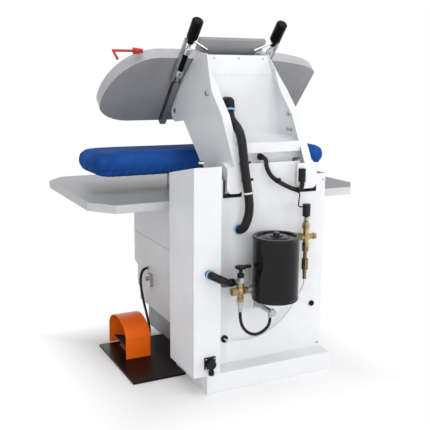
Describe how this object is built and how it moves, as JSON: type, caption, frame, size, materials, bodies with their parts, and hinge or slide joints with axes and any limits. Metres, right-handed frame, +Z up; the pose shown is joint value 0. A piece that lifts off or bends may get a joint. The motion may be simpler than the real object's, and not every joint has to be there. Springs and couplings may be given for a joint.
{
  "type": "steam press machine",
  "caption": "Floor-standing laundry press: a head swings down on a gooseneck arm over a padded buck, with a work table, a guarded foot pedal and a steam tank behind",
  "frame": {"origin": "on the floor, in the middle plane of the column, arm and head, under the plinth", "axes": "X across the machine towards the service cabinet, Y towards the rear, Z up"},
  "size_m": [1.464, 1.434, 1.6257],
  "materials": {
    "plinth": "white coated steel, satin coat",
    "toe_kick": "grey coated steel, satin coat",
    "floor_plate": "black coated steel, satin coat",
    "bearing_uprights": "grey coated steel, satin coat",
    "arm_axle": "ground steel, satin",
    "frame_crossbeam": "grey coated steel, satin coat",
    "press_cylinder": "aluminium, satin",
    "back_panel": "white coated steel, satin coat",
    "side_panel_left": "white coated steel, satin coat",
    "side_panel_right": "white coated steel, satin coat",
    "pedestal_front": "white coated steel, satin coat",
    "column_top_cover": "white coated steel, satin coat",
    "service_cabinet": "white coated steel, satin coat",
    "panel_rubbers": "black rubber, matt",
    "panel_screws": "zinc plated steel, satin",
    "arm_stop": "black rubber with a pale cap, matt",
    "power_inlet": "black moulded plastic, matt",
    "table_top": "laminated board, laminate",
    "table_edging": "pale plastic band, matt",
    "buck_stand": "white coated steel, satin coat",
    "buck": "steel, satin",
    "buck_pad": "blue woven press cloth over padding, woven",
    "pedal_guard": "orange coated steel, satin coat",
    "pedal_bracket": "zinc plated steel, satin",
    "tank": "black coated steel, satin coat",
    "tank_bracket": "zinc plated steel, satin",
    "brass_cross": "brass, dull",
    "steam_valve_body": "brass, dull",
    "valve_coil": "black moulded plastic, matt",
    "steel_fittings": "zinc plated steel, satin",
    "tube_fitting": "grey plastic, matt",
    "pedal_tubes": "black plastic tube, matt",
    "drain_hose": "black rubber hose, matt",
    "drain_tube": "clear plastic tube, matt",
    "feed_hose": "black rubber hose, matt",
    "coil_cable": "black sheathed cable, matt",
    "steam_hose": "black rubber steam hose, matt",
    "arm_plate_left": "white coated steel, satin coat",
    "arm_plate_right": "white coated steel, satin coat",
    "arm_bushes": "bronze, dull",
    "arm_cross_shafts": "ground steel, satin",
    "arm_crossbar": "white coated steel, satin coat",
    "arm_rear_panel": "white coated steel, satin coat",
    "arm_rubbers": "black rubber, matt",
    "control_sleeve": "black braided sleeve, woven",
    "arm_fasteners": "zinc plated steel, satin",
    "head_cover": "grey coated steel, satin coat",
    "head_platen": "polished aluminium, satin",
    "head_lugs": "cast iron, painted casting",
    "handle_rails": "grey coated steel, satin coat",
    "handle_clamps": "plated steel, bright",
    "handle_grips": "black grip rubber, matt",
    "head_bonnet": "grey coated steel, satin coat",
    "handle_rods": "chromed steel, bright",
    "lever_collar": "red coated steel, satin coat",
    "press_rod": "ground steel, satin",
    "pedal": "black coated steel, satin coat",
    "valve_handle": "black moulded plastic, matt",
    "front_knob": "chromed steel, bright",
    "hand_lever": "red coated steel, satin coat"
  },
  "bodies": {
    "base": {"plinth": "plinth", "toe_kick": "toe_kick", "floor_plate": "floor_plate", "bearing_uprights": "bearing_uprights", "arm_axle": "arm_axle", "frame_crossbeam": "frame_crossbeam", "press_cylinder": "press_cylinder", "back_panel": "back_panel", "side_panel_left": "side_panel_left", "side_panel_right": "side_panel_right", "pedestal_front": "pedestal_front", "column_top_cover": "column_top_cover", "service_cabinet": "service_cabinet", "panel_rubbers": "panel_rubbers", "panel_screws": "panel_screws", "arm_stop": "arm_stop", "power_inlet": "power_inlet", "table_top": "table_top", "table_edging": "table_edging", "buck_stand": "buck_stand", "buck": "buck", "buck_pad": "buck_pad", "pedal_guard": "pedal_guard", "pedal_bracket": "pedal_bracket", "tank": "tank", "tank_bracket": "tank_bracket", "brass_cross": "brass_cross", "steam_valve_body": "steam_valve_body", "valve_coil": "valve_coil", "steel_fittings": "steel_fittings", "tube_fitting": "tube_fitting", "pedal_tubes": "pedal_tubes", "drain_hose": "drain_hose", "drain_tube": "drain_tube", "feed_hose": "feed_hose", "coil_cable": "coil_cable", "steam_hose": "steam_hose"},
    "arm": {"arm_plate_left": "arm_plate_left", "arm_plate_right": "arm_plate_right", "arm_bushes": "arm_bushes", "arm_cross_shafts": "arm_cross_shafts", "arm_crossbar": "arm_crossbar", "arm_rear_panel": "arm_rear_panel", "arm_rubbers": "arm_rubbers", "control_sleeve": "control_sleeve", "arm_fasteners": "arm_fasteners"},
    "head": {"head_cover": "head_cover", "head_platen": "head_platen", "head_lugs": "head_lugs", "handle_rails": "handle_rails", "handle_clamps": "handle_clamps", "handle_grips": "handle_grips", "head_bonnet": "head_bonnet", "handle_rods": "handle_rods", "lever_collar": "lever_collar"},
    "press_ram": {"press_rod": "press_rod"},
    "foot_pedal": {"pedal": "pedal"},
    "valve_lever": {"valve_handle": "valve_handle"},
    "knob": {"front_knob": "front_knob"},
    "red_lever": {"hand_lever": "hand_lever"}
  },
  "joints": [
    {"name": "arm_swing", "type": "hinge", "parent": "base", "child": "arm", "pos_m": [0, 0.165, 0.928], "axis": [1, 0, 0], "range_deg": [0, 5.6], "stiffness_Nm_per_rad": 3000, "springref_deg": -11.46, "deforming": ["steam_hose"]},
    {"name": "head_tilt", "type": "hinge", "parent": "arm", "child": "head", "pos_m": [0, -0.3997, 1.1923], "axis": [1, 0, 0], "range_deg": [0, 126.4]},
    {"name": "rod_pull", "type": "slide", "parent": "base", "child": "press_ram", "axis": [0, 0, -1], "range_m": [0, 0.0145]},
    {"name": "pedal_press", "type": "hinge", "parent": "base", "child": "foot_pedal", "pos_m": [0.45, -0.3175, 0.046], "axis": [0, 1, 0], "range_deg": [0, 9], "stiffness_Nm_per_rad": 5, "springref_deg": -17.19},
    {"name": "valve_turn", "type": "hinge", "parent": "base", "child": "valve_lever", "pos_m": [0.196, 0.3, 0.53], "axis": [0, 0, 1], "range_deg": [-90, 0]},
    {"name": "knob_turn", "type": "hinge", "parent": "base", "child": "knob", "pos_m": [0.262, -0.78, 0.43], "axis": [0, 1, 0], "range_deg": [-90, 90]},
    {"name": "lever_turn", "type": "hinge", "parent": "head", "child": "red_lever", "pos_m": [0.414, -0.2793, 1.47547], "axis": [1, 0, 0], "range_deg": [0, 40]}
  ],
  "couplings": [
    {"joint": "rod_pull", "follows": "arm_swing", "m_per_rad": 0.145}
  ]
}
